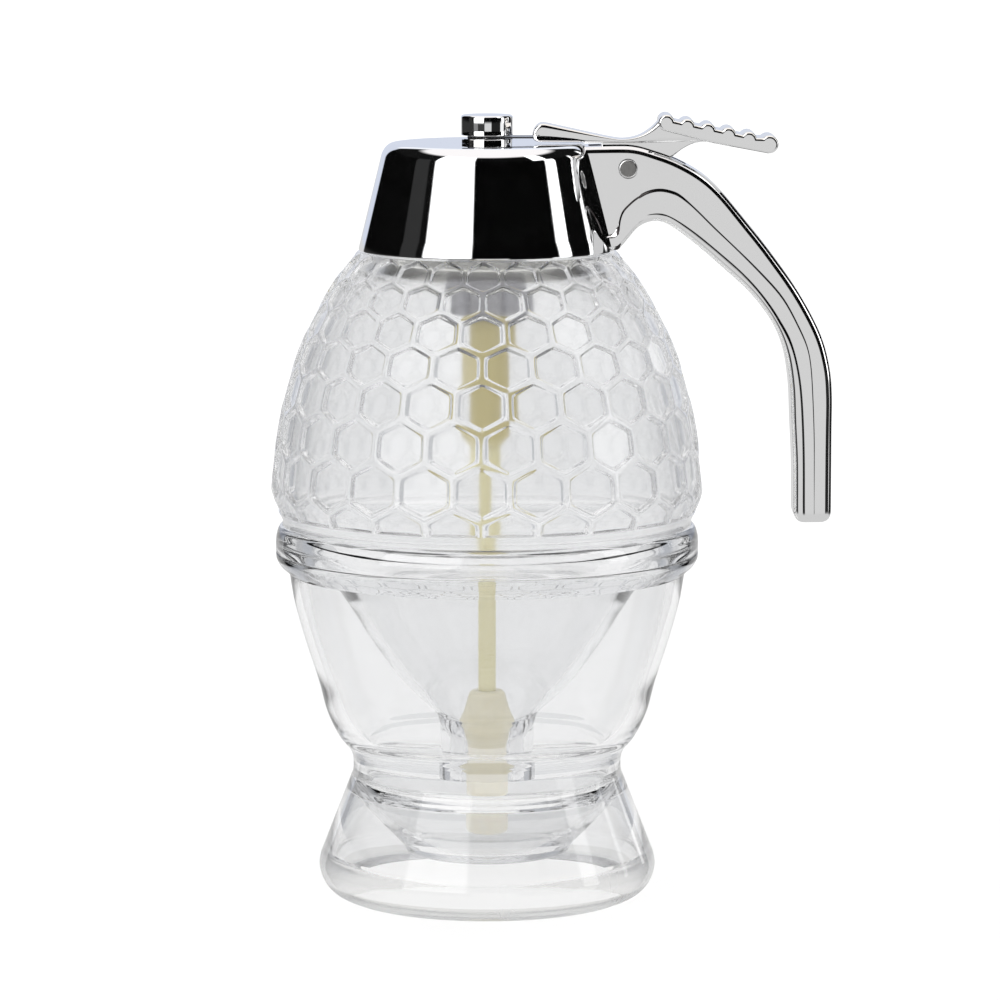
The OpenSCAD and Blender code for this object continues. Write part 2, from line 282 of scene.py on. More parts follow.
def nodes_of(name):
    m = bpy.data.materials.new(name)
    m.use_nodes = True
    t = m.node_tree
    return m, t, t.nodes["Principled BSDF"]


def noise(t, scale, detail=2.0, rough=0.5, distortion=0.0, stretch=None):
    n = t.nodes.new("ShaderNodeTexNoise")
    n.inputs["Scale"].default_value = scale
    n.inputs["Detail"].default_value = detail
    n.inputs["Roughness"].default_value = rough
    n.inputs["Distortion"].default_value = distortion
    c = t.nodes.new("ShaderNodeTexCoord")
    if stretch:
        mp = t.nodes.new("ShaderNodeMapping")
        mp.inputs["Scale"].default_value = stretch
        t.links.new(c.outputs["Object"], mp.inputs["Vector"])
        t.links.new(mp.outputs["Vector"], n.inputs["Vector"])
    else:
        t.links.new(c.outputs["Object"], n.inputs["Vector"])
    return n.outputs["Fac"]


def span(t, src, lo, hi, a=0.3, b=0.7):
    m = t.nodes.new("ShaderNodeMapRange")
    m.inputs["From Min"].default_value = a
    m.inputs["From Max"].default_value = b
    m.inputs["To Min"].default_value = lo
    m.inputs["To Max"].default_value = hi
    t.links.new(src, m.inputs["Value"])
    return m.outputs["Result"]


def bump(t, shader, src, strength, distance):
    b = t.nodes.new("ShaderNodeBump")
    b.inputs["Strength"].default_value = strength
    b.inputs["Distance"].default_value = distance
    t.links.new(src, b.inputs["Height"])
    t.links.new(b.outputs["Normal"], shader.inputs["Normal"])


def clear_plastic(name, tint, wave, wave_scale, haze=(0.0, 0.022)):
    m, t, s = nodes_of(name)
    s.inputs["Base Color"].default_value = (*tint, 1)
    s.inputs["Transmission Weight"].default_value = 1.0
    s.inputs["IOR"].default_value = 1.49
    # polished moulding: faint haze in patches, and the slow waves of the cooled surface
    t.links.new(span(t, noise(t, 55, 3, 0.6), *haze), s.inputs["Roughness"])
    bump(t, s, noise(t, wave_scale, 1.5, 0.4), wave, 0.0006)
    return m


def chrome(name, tone, lo, hi, wave, wave_scale):
    m, t, s = nodes_of(name)
    s.inputs["Metallic"].default_value = 1.0
    s.inputs["Base Color"].default_value = (*tone, 1)
    t.links.new(span(t, noise(t, 420, 4, 0.6), lo, hi), s.inputs["Roughness"])
    bump(t, s, noise(t, wave_scale, 2, 0.5), wave, 0.0005)
    return m


def tinted(t, s, a, b, src, lo=0.35, hi=0.65):
    r = t.nodes.new("ShaderNodeMix")
    r.data_type = "RGBA"
    r.inputs[6].default_value = (*a, 1)
    r.inputs[7].default_value = (*b, 1)
    t.links.new(span(t, src, 0, 1, lo, hi), r.inputs[0])
    t.links.new(r.outputs[2], s.inputs["Base Color"])
    return r


def brushed(name, tone, lo, hi, stretch):
    m, t, s = nodes_of(name)
    s.inputs["Metallic"].default_value = 1.0
    grain = noise(t, 900, 3, 0.6, 0, stretch)
    tinted(t, s, [c * 0.86 for c in tone], tone, grain)
    t.links.new(span(t, grain, lo, hi), s.inputs["Roughness"])
    bump(t, s, grain, 0.25, 0.00003)
    return m


def moulded(name, a, b, lo, hi, sss=0.0, radius=(0.002, 0.0018, 0.0012), spec=0.5):
    m, t, s = nodes_of(name)
    n = noise(t, 160, 4, 0.55)
    tinted(t, s, a, b, n)
    s.inputs["Specular IOR Level"].default_value = spec
    if sss:
        s.inputs["Subsurface Weight"].default_value = sss
        s.inputs["Subsurface Radius"].default_value = radius
        s.inputs["Subsurface Scale"].default_value = 1.0
    t.links.new(span(t, noise(t, 700, 3, 0.6), lo, hi), s.inputs["Roughness"])
    bump(t, s, noise(t, 1500, 3, 0.6), 0.18, 0.00004)
    return m


M_STAND = clear_plastic("clear stand plastic", (0.915, 0.917, 0.92), 0.05, 45)
# painted shade: a darker grey tint standing in for the contact shadow under the foot, plus a worn matte haze
M_RIM_WORN_AND_SHADED = clear_plastic("worn standing ring with painted contact shade", (0.68, 0.68, 0.67), 0.10, 70, (0.16, 0.30))
M_JAR = clear_plastic("clear jar plastic", (0.94, 0.942, 0.945), 0.05, 70)
M_INSIDE = clear_plastic("clear jar plastic inside", (0.94, 0.942, 0.945), 0.16, 60, (0.13, 0.19))
M_LID = chrome("chrome plated lid", (0.95, 0.955, 0.965), 0.015, 0.05, 0.03, 30)
M_HANDLE = chrome("chrome plated casting", (0.94, 0.94, 0.94), 0.03, 0.07, 0.02, 95)
# painted reflection tone: a warmer copy of the chrome for the trigger's upward faces, cancelling the blue of the light
# they reflect
M_PAD_PAINTED_TONE = chrome("chrome pad with painted reflection tone", (0.98, 0.955, 0.90), 0.03, 0.07, 0.02, 95)
# painted shade: near-black chrome for the dark line along the step round the handle's arch
M_SEAM_PAINTED_SHADE = chrome("seam shade", (0.05, 0.045, 0.045), 0.15, 0.3, 0.02, 95)
M_STEEL = brushed("turned steel", (0.66, 0.66, 0.67), 0.18, 0.34, (1, 1, 9))
# painted shade: the plated boss under the lid gets a dark base colour standing in for the dark reflections it shows
# there
M_TUBE_PAINTED_SHADE = brushed("plated tube with painted dark reflections", (0.42, 0.42, 0.44), 0.10, 0.24, (1, 1, 7))
M_PIN = brushed("pin steel", (0.38, 0.375, 0.365), 0.30, 0.46, (4, 1, 1))
M_FORK = brushed("dark strip steel", (0.10, 0.10, 0.105), 0.16, 0.30, (5, 1, 1))
M_LINER = moulded("white liner plastic", (0.84, 0.84, 0.81), (0.89, 0.89, 0.86), 0.38, 0.52)
M_SEAL = moulded("silicone seal", (0.80, 0.81, 0.80), (0.86, 0.87, 0.86), 0.42, 0.55, 0.3)
M_BUSH = moulded("acetal bush", (0.72, 0.63, 0.36), (0.78, 0.69, 0.42), 0.30, 0.45, 0.1)
M_STOP = moulded("milky stopper", (0.58, 0.54, 0.40), (0.62, 0.585, 0.45), 0.26, 0.40, 0.35,
                 (0.004, 0.0035, 0.0025))
M_NOSE = moulded("milky stopper nose", (0.72, 0.695, 0.61), (0.76, 0.735, 0.65), 0.26, 0.40, 0.35,
                 (0.004, 0.0035, 0.0025))


def rod_material():
    """Ivory plastic, yellower on the thick guided part."""
    m, t, s = nodes_of("ivory rod plastic")
    c = t.nodes.new("ShaderNodeTexCoord")
    x = t.nodes.new("ShaderNodeSeparateXYZ")
    t.links.new(c.outputs["Object"], x.inputs["Vector"])
    mix = t.nodes.new("ShaderNodeMix")
    mix.data_type = "RGBA"
    mix.inputs[6].default_value = (0.65, 0.61, 0.385, 1)
    mix.inputs[7].default_value = (0.49, 0.43, 0.215, 1)
    t.links.new(span(t, x.outputs["Z"], 0, 1, 0.0935, 0.0975), mix.inputs[0])
    grain = t.nodes.new("ShaderNodeMix")
    grain.data_type = "RGBA"
    grain.blend_type = "MULTIPLY"
    grain.inputs[7].default_value = (0.90, 0.89, 0.86, 1)
    t.links.new(span(t, noise(t, 130, 4, 0.6, 0, (1, 1, 0.25)), 0, 1), grain.inputs[0])
    t.links.new(mix.outputs[2], grain.inputs[6])
    t.links.new(grain.outputs[2], s.inputs["Base Color"])
    s.inputs["Subsurface Weight"].default_value = 0.15
    s.inputs["Subsurface Radius"].default_value = (0.0015, 0.0013, 0.0008)
    s.inputs["Subsurface Scale"].default_value = 1.0
    t.links.new(span(t, noise(t, 600, 3, 0.6), 0.30, 0.46), s.inputs["Roughness"])
    bump(t, s, noise(t, 900, 3, 0.6), 0.2, 0.00005)
    return m


M_ROD = rod_material()

# ------------------------------------------------------------------ heights shared with the CAD model
PART_Z, SHELL_Z, SHOULDER_Z, NECK_Z = 72.7, 78.6, 135.4, 149.75
LID_Z, CONE_Z, LID_TOP = 135.7, 155.2, 157.8
SEAT_Z, NOZZLE_R, NOZZLE_Z = 32.4, 5.2, 25.5
LINER_Z = 152.4
JAR_R, WALL, BORE = 45.0, 3.3, 17.2
PIVOT = (29.1, 152.8)


def lid_r(z):
    return 26.7 - (26.7 - 21.9) * (z - LID_Z) / (CONE_Z - LID_Z)


# ------------------------------------------------------------------ stand
foot = curve([(30.2, 0.0), (32.7, 1.2), (34.5, 3.4), (35.3, 6.2), (34.95, 8.6)], 8)
bowl_out = curve([(28.1, 26.2), (28.1, 29), (28.9, 31.2), (31.2, 34.1), (33.6, 39.2),
                  (35.3, 45.6), (38.0, 54), (40.2, 62), (41.3, 68.4)], 12)
bowl_in = curve([(39.35, PART_Z - 0.06), (39.0, 70.6), (38.5, 68), (37.3, 62), (35.1, 54), (32.4, 45.6),
                 (30.6, 39.8), (28.5, 35.8), (26.4, 33.5), (25.6, 31.6)], 10)
stand = lathe("stand_cup_visual", (
    [(28.9, 0.02), (30.1, 0.0)] + foot
    + fillet((34.95, 8.6), (28.5, 25.2), (28.1, 26.2), 1.6, 5)[:-1] + bowl_out
    + curve([(41.3, 68.4), (42.2, 69.1), (43.3, 70.2), (43.95, 71.4), (44.1, PART_Z - 0.35)], 7)
    + [(44.02, PART_Z - 0.14), (43.85, PART_Z - 0.06)] + bowl_in
    + curve([(25.6, 31.6), (25.5, 28), (25.4, 25), (24.7, 23.4)], 6)
    + curve([(15.2, 11.9), (14.2, 10.9), (12.8, 10.5)], 6)
    + [(6, 10.45), (0, 10.4), (0, 8.2), (8, 8.23)]
    + curve([(15.6, 8.3), (17.1, 8.9), (17.8, 10.6)], 6)
    + [(26.9, 21.5), (27.2, 21.78), (27.42, 21.75), (27.6, 21.45)]
    + curve([(32.3, 9.4), (32.2, 8.2), (31.4, 6.6), (29.9, 3.4), (28.9, 0.9)], 6)), 224)
done(stand, "stand", M_STAND, ["stand_cup"], 32, glass=True)
# painted shade: the downward faces of the standing ring take the darker tint, standing in for the contact shadow under
# the foot
stand.data.materials.append(M_RIM_WORN_AND_SHADED)
for f in stand.data.polygons:
    if f.center.z < 0.0034 and f.normal.z < -0.3:
        f.material_index = 1

# ------------------------------------------------------------------ funnel base
funnel_out = curve([(9.9, 35), (10.15, 36.6), (11, 38.6), (14.5, 42.4), (18.9, 47.3), (24.1, 54.4),
                    (29.1, 61.6), (32.2, 66), (35.6, 70.2), (38.2, PART_Z - 0.7)], 10)
funnel_in = curve([(38.9, 77.1), (37.2, 74.4), (33.6, 70.2), (29.8, 65.6), (26.9, 61.6), (21.9, 54.6),
                   (16.8, 47.9), (12.4, 43), (9.4, 39.4), (8.3, 37.5)], 10)
base = lathe("funnel_base_visual", (
    [(NOZZLE_R + 0.15, NOZZLE_Z), (9.4, NOZZLE_Z), (9.72, NOZZLE_Z + 0.12), (9.85, NOZZLE_Z + 0.5)]
    + [(9.88, 30)] + funnel_out
    + [(38.3, PART_Z + 0.02), (43.75, PART_Z + 0.02), (43.97, PART_Z + 0.1), (44.08, PART_Z + 0.34)]
    + [(44.1, PART_Z + 2.2)]
    + curve([(44.1, PART_Z + 2.2), (43.95, 76.3), (43.5, 77.7), (42.95, 78.35), (42.6, SHELL_Z - 0.04)], 6)
    + [(41.47, SHELL_Z - 0.04), (41.47, 77.12)]
    + funnel_in
    + [(NOZZLE_R + 0.609 * (37.2 - SEAT_Z), 37.2), (NOZZLE_R, SEAT_Z), (NOZZLE_R, NOZZLE_Z + 0.15)]), 224)
done(base, "jar", M_JAR, ["funnel_base"], 32, glass=True)

# ------------------------------------------------------------------ honeycomb shell
hive_pts = [(42.7, SHELL_Z), (42.75, 79.7), (43.5, 81.2), (JAR_R - 0.6, 83.2), (JAR_R - 0.1, 85.3),
            (JAR_R, 87.4), (JAR_R - 0.45, 91.8), (JAR_R - 1.3, 97.9), (JAR_R - 2.55, 104.2),
            (JAR_R - 4.3, 110.5), (JAR_R - 6.6, 116.8), (JAR_R - 9.6, 123), (JAR_R - 13.4, 129.4),
            (28.3, 133.6), (27.3, SHOULDER_Z - 0.5)]
hive_fine = curve(hive_pts, 40)
hive_in = curve([(JAR_R - WALL - 1.4, 80.2), (JAR_R - WALL - 0.3, 84), (JAR_R - WALL, 87.4),
                 (JAR_R - WALL - 0.5, 92), (JAR_R - WALL - 1.4, 97.9), (JAR_R - WALL - 2.7, 104.2),
                 (JAR_R - WALL - 4.5, 110.5), (JAR_R - WALL - 6.9, 116.8), (JAR_R - WALL - 10.3, 123),
                 (26.9, 128.6), (22.4, 131.9), (18.6, 133.7), (BORE, 135.6)], 10)


def hive_r(z):
    lo, hi = 0, len(hive_fine) - 1
    if z <= hive_fine[0][1]:
        return hive_fine[0][0]
    if z >= hive_fine[-1][1]:
        return hive_fine[-1][0] - (z - hive_fine[-1][1]) * 1.2
    while hi - lo > 1:
        mid = (lo + hi) // 2
        if hive_fine[mid][1] <= z:
            lo = mid
        else:
            hi = mid
    (r0, z0), (r1, z1) = hive_fine[lo], hive_fine[hi]
    return r0 + (r1 - r0) * (z - z0) / max(z1 - z0, 1e-9)


CELLS, A0 = 24, math.radians(-1.3)
ROWS = [(136.9,), (132.5,), (127.7,), (121.7,), (115.1,), (107.6,), (99.1,), (90.2,), (81.2,), (72.0,)]


def row_z(v):
    return at(ROWS, v + 1)[0]


def hive_point(u, v, depth=0.0):
    """Point of the shell u cells round and v rows down, sunk by depth, and the normal there."""
    z = row_z(v)
    r = hive_r(z)
    slope = (hive_r(z + 0.25) - hive_r(z - 0.25)) / 0.5
    k = 1 / math.hypot(1, slope)
    a = A0 + u * 2 * math.pi / CELLS
    er = Vector((math.sin(a), -math.cos(a), 0))
    n = er * k + Vector((0, 0, -slope * k))
    return er * r + Vector((0, 0, z)) - n * depth, n


RINGS = [1.0, 0.945, 0.905, 0.875, 0.850, 0.825, 0.800, 0.775, 0.750, 0.70, 0.46]
SINK = [(0.46, 1.0), (0.70, 1.0), (0.750, 0.985), (0.775, 0.93), (0.800, 0.80), (0.825, 0.60),
        (0.850, 0.37), (0.875, 0.18), (0.905, 0.065), (0.945, 0.012), (1.0, 0.0)]
SIDE = [-30, -22, -9, 9, 22]
V_TOP, V_LOW = -0.55, 6.985
Y_ROW = math.sqrt(3) / 2
DEPTH = 0.85


def hex_ring(s):
    """Rounded hexagon of width s, pointing up."""
    a = 0.5 * s
    rc = a * 0.24 * smoothstep(1.0, 0.86, s)
    out = []
    for j in range(6):
        for psi in SIDE:
            rho = a / math.cos(math.radians(psi))
            if rc > 0:
                f = math.radians(30 - abs(psi))
                c = (a - rc) / math.cos(math.radians(30))
                d = rc * rc - (c * math.sin(f)) ** 2
                if d >= 0:
                    rho = min(rho, c * math.cos(f) + math.sqrt(d))
            phi = math.radians(60 * j + psi)
            out.append((rho * math.cos(phi), rho * math.sin(phi)))
    return out


def honeycomb():
    flat = bmesh.new()
    shapes = [hex_ring(s) for s in RINGS]
    for k in range(-1, 8):
        for i in range(CELLS):
            cx, cy = i + (0.5 if k % 2 else 0.0), -k * Y_ROW
            rings = [[flat.verts.new((cx + x, cy + y, s)) for x, y in shape]
                     for s, shape in zip(RINGS, shapes)]
            mid = flat.verts.new((cx, cy, 0.0))
            n = len(rings[0])
            for a, b in zip(rings, rings[1:]):
                for q in range(n):
                    w = (q + 1) % n
                    flat.faces.new((a[q], a[w], b[w], b[q]))
            for q in range(n):
                flat.faces.new((rings[-1][q], rings[-1][(q + 1) % n], mid))
    for co, no in (((0, -V_TOP * Y_ROW, 0), (0, 1, 0)), ((0, -V_LOW * Y_ROW, 0), (0, -1, 0))):
        bmesh.ops.bisect_plane(flat, geom=flat.verts[:] + flat.edges[:] + flat.faces[:],
                               dist=1e-6, plane_co=co, plane_no=no, clear_outer=True)
    for vert in flat.verts:
        x, y, s = vert.co
        u, v = x, -y / Y_ROW
        # the cell this point lies in
        best = None
        for k in (math.floor(v), math.floor(v) + 1):
            off = 0.5 if k % 2 else 0.0
            cu = round(u - off) + off
            d = math.hypot(u - cu, (v - k) * Y_ROW)
            if best is None or d < best[0]:
                best = (d, cu, k)
        _, cu, k = best
        size = 2 * math.pi * hive_r(row_z(k)) / CELLS / 11.78
        depth = DEPTH * size ** 0.6 if k >= 0 else 0.0
        p, n = hive_point(u, v, depth * lerp_table(SINK, s))
        flatten = smoothstep(0.86, 0.76, s) if depth else 0.0
        if flatten > 0:
            c0, nc = hive_point(cu, k, 0)
            plane = c0 - nc * (depth + 0.16 * size)
            p = p - nc * ((p - plane).dot(nc) * flatten)
        vert.co = p
    bmesh.ops.remove_doubles(flat, verts=flat.verts[:], dist=2e-3)
    return flat


def stitch(bm, a, b):
    """Triangles between two rings of vertices that run round the same axis, both sorted by angle."""
    def ang(v):
        return math.atan2(v.co.y, v.co.x)
    a, b = sorted(a, key=ang), sorted(b, key=ang)
    na, nb = len(a), len(b)
    i = j = 0
    while i < na or j < nb:
        ta = ang(a[(i + 1) % na]) + (2 * math.pi if i + 1 >= na else 0)
        tb = ang(b[(j + 1) % nb]) + (2 * math.pi if j + 1 >= nb else 0)
        if j >= nb or (i < na and ta <= tb):
            bm.faces.new((a[i % na], a[(i + 1) % na], b[j % nb]))
            i += 1
        else:
            bm.faces.new((a[i % na], b[(j + 1) % nb], b[j % nb]))
            j += 1


def hive_shell():
    bm = honeycomb()
    edge = [e for e in bm.edges if e.is_boundary]
    top = list({v for e in edge for v in e.verts if v.co.z > 120})
    low = list({v for e in edge for v in e.verts if v.co.z < 120})
    # the pockets of the last row end at a small ledge
    def extrude(loop, r_add, z):
        out = []
        for v in loop:
            a = math.atan2(v.co.y, v.co.x)
            out.append(bm.verts.new(((r_add) * math.cos(a), (r_add) * math.sin(a), z)))
        return out
    def quads(a, b, flip):
        order = sorted(range(len(a)), key=lambda i: math.atan2(a[i].co.y, a[i].co.x))
        for p, q in zip(order, order[1:] + order[:1]):
            f = (a[p], a[q], b[q], b[p])
            bm.faces.new(f[::-1] if flip else f)
    z_low = row_z(V_LOW)
    low2 = extrude(low, hive_r(z_low - 0.06), z_low - 0.06)
    quads(low, low2, True)
    z_top = row_z(V_TOP)
    top2 = extrude(top, hive_r(z_top + 0.03) + 0.01, z_top + 0.03)
    quads(top, top2, False)
    lower = [(r, z) for r, z in curve(hive_pts[:4], 10) if z < z_low - 0.2][::-1]
    prof = ([(26.7, SHOULDER_Z), (19.0, SHOULDER_Z), (19.0, NECK_Z - 0.4), (18.9, NECK_Z - 0.15),
             (18.6, NECK_Z), (BORE + 0.2, NECK_Z), (BORE + 0.05, NECK_Z - 0.06), (BORE, NECK_Z - 0.2)]
            + hive_in[::-1]
            + [(JAR_R - WALL - 1.7, 77.25), (JAR_R - WALL - 1.6, 77.22), (41.3, 77.22), (41.37, 77.3),
               (41.37, SHELL_Z + 0.02), (42.6, SHELL_Z + 0.02)]
            + lower[::-1])
    rings = [ring(bm, r, z, 224) for r, z in prof]
    for a, b in zip(rings, rings[1:]):
        skin(bm, a, b)
    stitch(bm, top2, rings[0])
    stitch(bm, low2, rings[-1])
    bmesh.ops.recalc_face_normals(bm, faces=bm.faces)
    return new_object("hive_shell_visual", bm)


hive = hive_shell()
done(hive, "jar", M_JAR, ["hive_shell"], 38, glass=True)
hive.data.materials.append(M_INSIDE)
for f in hive.data.polygons:
    c = f.center
    if f.normal.dot(Vector((c.x, c.y, 0))) < 0 and c.z < 0.1355:
        f.material_index = 1


def helix(name, section, z0, turns, pitch, start=0.0, seg=72, taper=0.12):
    """Ridge with the given section (radius, height), wound round the axis, fading in at its ends."""
    bm = bmesh.new()
    n = round(turns * seg)
    r0 = min(r for r, _ in section)
    rings = []
    for i in range(n + 1):
        a = math.radians(start) + 2 * math.pi * i / seg
        k = min(1.0, (i + 1) / (taper * seg), (n - i + 1) / (taper * seg))
        rings.append([bm.verts.new(((r0 + (r - r0) * k) * math.cos(a), (r0 + (r - r0) * k) * math.sin(a),
                                    z0 + pitch * i / seg + z)) for r, z in section])
    m = len(section)
    for a, b in zip(rings, rings[1:]):
        for j in range(m):
            k = (j + 1) % m
            bm.faces.new((a[j], a[k], b[k], b[j]))
    bm.faces.new(rings[0][::-1])
    bm.faces.new(rings[-1])
    bmesh.ops.recalc_face_normals(bm, faces=bm.faces)
    return new_object(name, bm)


neck_thread = helix("neck_thread", [(19.03, -1.05), (20.0, -0.62), (20.22, -0.4), (20.3, 0), (20.22, 0.4),
                                    (20.0, 0.62), (19.03, 1.05)], 138.2, 1.5, 4.0)
done(neck_thread, "jar", M_JAR, (), 35, glass=True)

# ------------------------------------------------------------------ lid
lid_edge = bezier((21.9, CONE_Z), (21.59, 156.46), (20.55, LID_TOP), (19.4, LID_TOP), 16)
bm = bmesh.new()
turned(bm, (
    [(25.5, LID_Z + 0.1), (25.65, LID_Z), (26.42, LID_Z), (26.6, LID_Z + 0.08), (lid_r(LID_Z + 0.3), LID_Z + 0.3)]
    + [(lid_r(z), z) for z in (139, 143, 147, 151, 154)]
    + lid_edge
    + [(12, LID_TOP), (3.35, LID_TOP), (3.2, LID_TOP - 0.12), (3.2, 156.6), (7.6, 156.6), (7.6, 153.55),
       (9.4, 153.55), (9.4, 156.6), (18.6, 156.6)]
    + curve([(18.6, 156.6), (20.2, 155.9), (20.7, 154.6)], 5)
    + [(lid_r(150) - 1.25, 150), (lid_r(143) - 1.25, 143)]), 256)
for a in (60, 180, 300):
    cx, cy = 14 * math.cos(math.radians(a)), 14 * math.sin(math.radians(a))
    z0, z1 = LINER_Z + 0.02, 156.7
    rings = [[bm.verts.new((cx + r * math.cos(2 * math.pi * i / 40), cy + r * math.sin(2 * math.pi * i / 40), z))
              for i in range(40)] for r, z in ((1.06, z1), (1.06, z0), (2.25, z0), (2.4, z0 + 0.15), (2.4, z1))]
    for p, q in zip(rings, rings[1:] + rings[:1]):
        skin(bm, p, q)
lid = new_object("lid_cover_visual", bm)
done(lid, "lid", M_LID, ["lid_cover"], 32)

# ------------------------------------------------------------------ spring housing
tube = lathe("spring_housing_visual", (
    [(4.81, 123.15), (4.95, 123.0), (7.9, 123.0)] + arc((8.1, 123.5), 0.5, -90, 0, 5)
    + [(8.6, 126.0), (8.52, 126.15), (8.52, 126.6), (8.6, 126.75), (8.6, LINER_Z + 0.05),
       (10.9, LINER_Z + 0.05), (11, LINER_Z + 0.15), (11, 153.4), (10.9, 153.5), (7.6, 153.5), (7.6, 125.2),
       (4.81, 125.2)]), 128)
done(tube, "lid", M_TUBE_PAINTED_SHADE, ["spring_housing"], 28)

# ------------------------------------------------------------------ knob
knob = lathe("lift_knob_visual", (
    [(1.51, 159.4), (5.15, 159.4)] + arc((5.2, 159.6), 0.2, -90, 0, 4)
    + arc((4.85, 163.05), 0.55, 0, 90, 7) + [(2.0, 163.62), (0, 163.63), (0, 162.3), (1.51, 162.3)]), 128)
done(knob, "plunger", M_LID, ["lift_knob"], 32)

# ------------------------------------------------------------------ rod and stopper
rod = lathe("plunger_rod_visual", (
    [(0, 34.6), (1.2, 34.6), (1.5, 34.75), (1.85, 35.2), (1.85, 94.6)]
    + fillet((1.85, 60), (1.85, 94.6), (3.95, 96.6), 0.5, 4)
    + fillet((1.85, 94.6), (3.95, 96.6), (4.75, 97.4), 0.4, 3)
    + [(4.55, 97.15), (4.72, 97.4), (4.75, 97.6), (4.75, 127.5), (4.9, 127.6), (6.5, 127.6), (6.6, 127.7),
       (6.6, 129.3), (6.5, 129.4), (1.5, 129.4), (1.5, 112.0), (0, 112.0)]), 72)
done(rod, "plunger", M_ROD, ["plunger_rod"], 35)

stop_prof = (
    [(0, 13.6)] + curve([(1.2, 13.6), (2.4, 13.85), (3.4, 14.4), (4.05, 15.2), (4.3, 16.3), (4.35, 17.5)], 5)
    + [(4.35, 22), (4.35, 30.3), (4.45, 30.9), (4.75, 34.25 - 1.45 / 0.609), (6.05, 34.0), (6.2, 34.3)]
    + curve([(6.2, 34.3), (6.05, 35.6), (5.6, 37.6), (4.75, 40.2), (4.1, 42.4), (3.7, 43.5), (3.1, 43.95)], 5)
    + [(1.87, 44.0), (1.87, 35.2), (1.2, 34.55), (0, 34.55)])
stopper = lathe("stopper_visual", stop_prof, 96)
done(stopper, "plunger", M_STOP, ["stopper"], 35)
stopper.data.materials.append(M_NOSE)
for f in stopper.data.polygons:
    if f.center.z < 0.0303:
        f.material_index = 1

# ------------------------------------------------------------------ return spring


def spring():
    wire, r, m, seg = 0.45, 5.2, 12, 48
    z0, z1 = 129.4 + wire + 0.05, 152.1 - wire - 0.05
    turns = 7 + 1.5
    n = round(turns * seg)

    def height(t):
        if t < 0.75:
            return z0 + t / 0.75 * 2 * wire
        if t > turns - 0.75:
            return z1 - (turns - t) / 0.75 * 2 * wire
        return z0 + 2 * wire + (z1 - z0 - 4 * wire) * (t - 0.75) / (turns - 1.5)
    b = bmesh.new()
    rings = []
    for i in range(n + 1):
        a = 2 * math.pi * i / seg
        rings.append([b.verts.new(((r + wire * math.cos(2 * math.pi * j / m)) * math.cos(a),
                                   (r + wire * math.cos(2 * math.pi * j / m)) * math.sin(a),
                                   height(i / seg) + wire * math.sin(2 * math.pi * j / m))) for j in range(m)])
    for p, q in zip(rings, rings[1:]):
        for j in range(m):
            b.faces.new((p[j], q[j], q[(j + 1) % m], p[(j + 1) % m]))
    b.faces.new(rings[0])
    b.faces.new(rings[-1][::-1])
    bmesh.ops.recalc_face_normals(b, faces=b.faces)
    return new_object("return_spring_visual", b)


coil = spring()
done(coil, "plunger", M_STEEL, ["return_spring"], 50)
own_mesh(coil)

# ------------------------------------------------------------------ handle
OUT = [(18, 157.2), (27, 157.4), (30.6, 157.2), (34, 156.3), (39, 154.5), (44.2, 151.6), (48.3, 148),
       (53.5, 141.8), (58.6, 135.4), (64.4, 127.2), (68.9, 118.8), (70.9, 112), (71.5, 106), (71.5, 98),
       (71.5, 84)]
PAIRS = [(25.7, 135.97, 0.13), (27.0, 136.05, 0.42), (28.1, 137.1, 0.72), (29.5, 138.8, 1.1),
         (31.2, 140.7, 2.0), (33.4, 141.8, 3.3), (35.8, 141.9, 4.3), (38.4, 140.7, 5.0), (42.6, 137.6, 6.0),
         (48, 133, 7.1), (54.5, 127, 8.35), (59, 121, 9.3), (61.6, 115, 10.25), (62.8, 108, 11.5),
         (63.2, 100, 12.6), (63.6, 92, 13.4), (63.7, 83, 14.0)]
RELIEF = curve([(25.2, 133.6), (26.96, 136.56), (27.2, 139.76), (27.35, 141.83), (27.97, 143.79),
                (29.1, 145.13), (30.53, 146.37), (33.1, 147.91), (35.68, 148.43), (38.26, 147.91),
                (39.8, 147.19), (42.91, 144.57), (47.05, 140.44), (51.2, 136.56), (56.39, 131.38),
                (61.07, 126.2), (64.22, 120.5), (66.32, 115.82), (67.08, 111.66), (67.54, 104.89),
                (67.87, 97.07), (67.94, 89.23), (67.99, 82.43), (68.0, 76)], 6)
BEAD = curve([(30.5, 142.3), (33.0, 143.35), (35.71, 143.5), (38.29, 142.72), (42.95, 139.62),
              (48.65, 134.96), (53.32, 130.82), (57.48, 126.15), (60.62, 121.48), (62.95, 117.33),
              (64.6, 111.61), (65.5, 104.84), (66.0, 94.4), (66.15, 81.84), (66.2, 76)], 6)


def cross(p, q, line):
    """Share of the way from p to q at which the line is crossed, with the sine of the angle, or None."""
    for a, b in zip(line, line[1:]):
        d = (q[0] - p[0], q[1] - p[1])
        e = (b[0] - a[0], b[1] - a[1])
        det = d[0] * e[1] - d[1] * e[0]
        if abs(det) < 1e-9:
            continue
        s = ((a[0] - p[0]) * e[1] - (a[1] - p[1]) * e[0]) / det
        t = ((a[0] - p[0]) * d[1] - (a[1] - p[1]) * d[0]) / det
        if 0 <= t <= 1 and -0.1 <= s <= 1.1:
            return s, abs(det) / (math.hypot(*d) * math.hypot(*e))
    return None


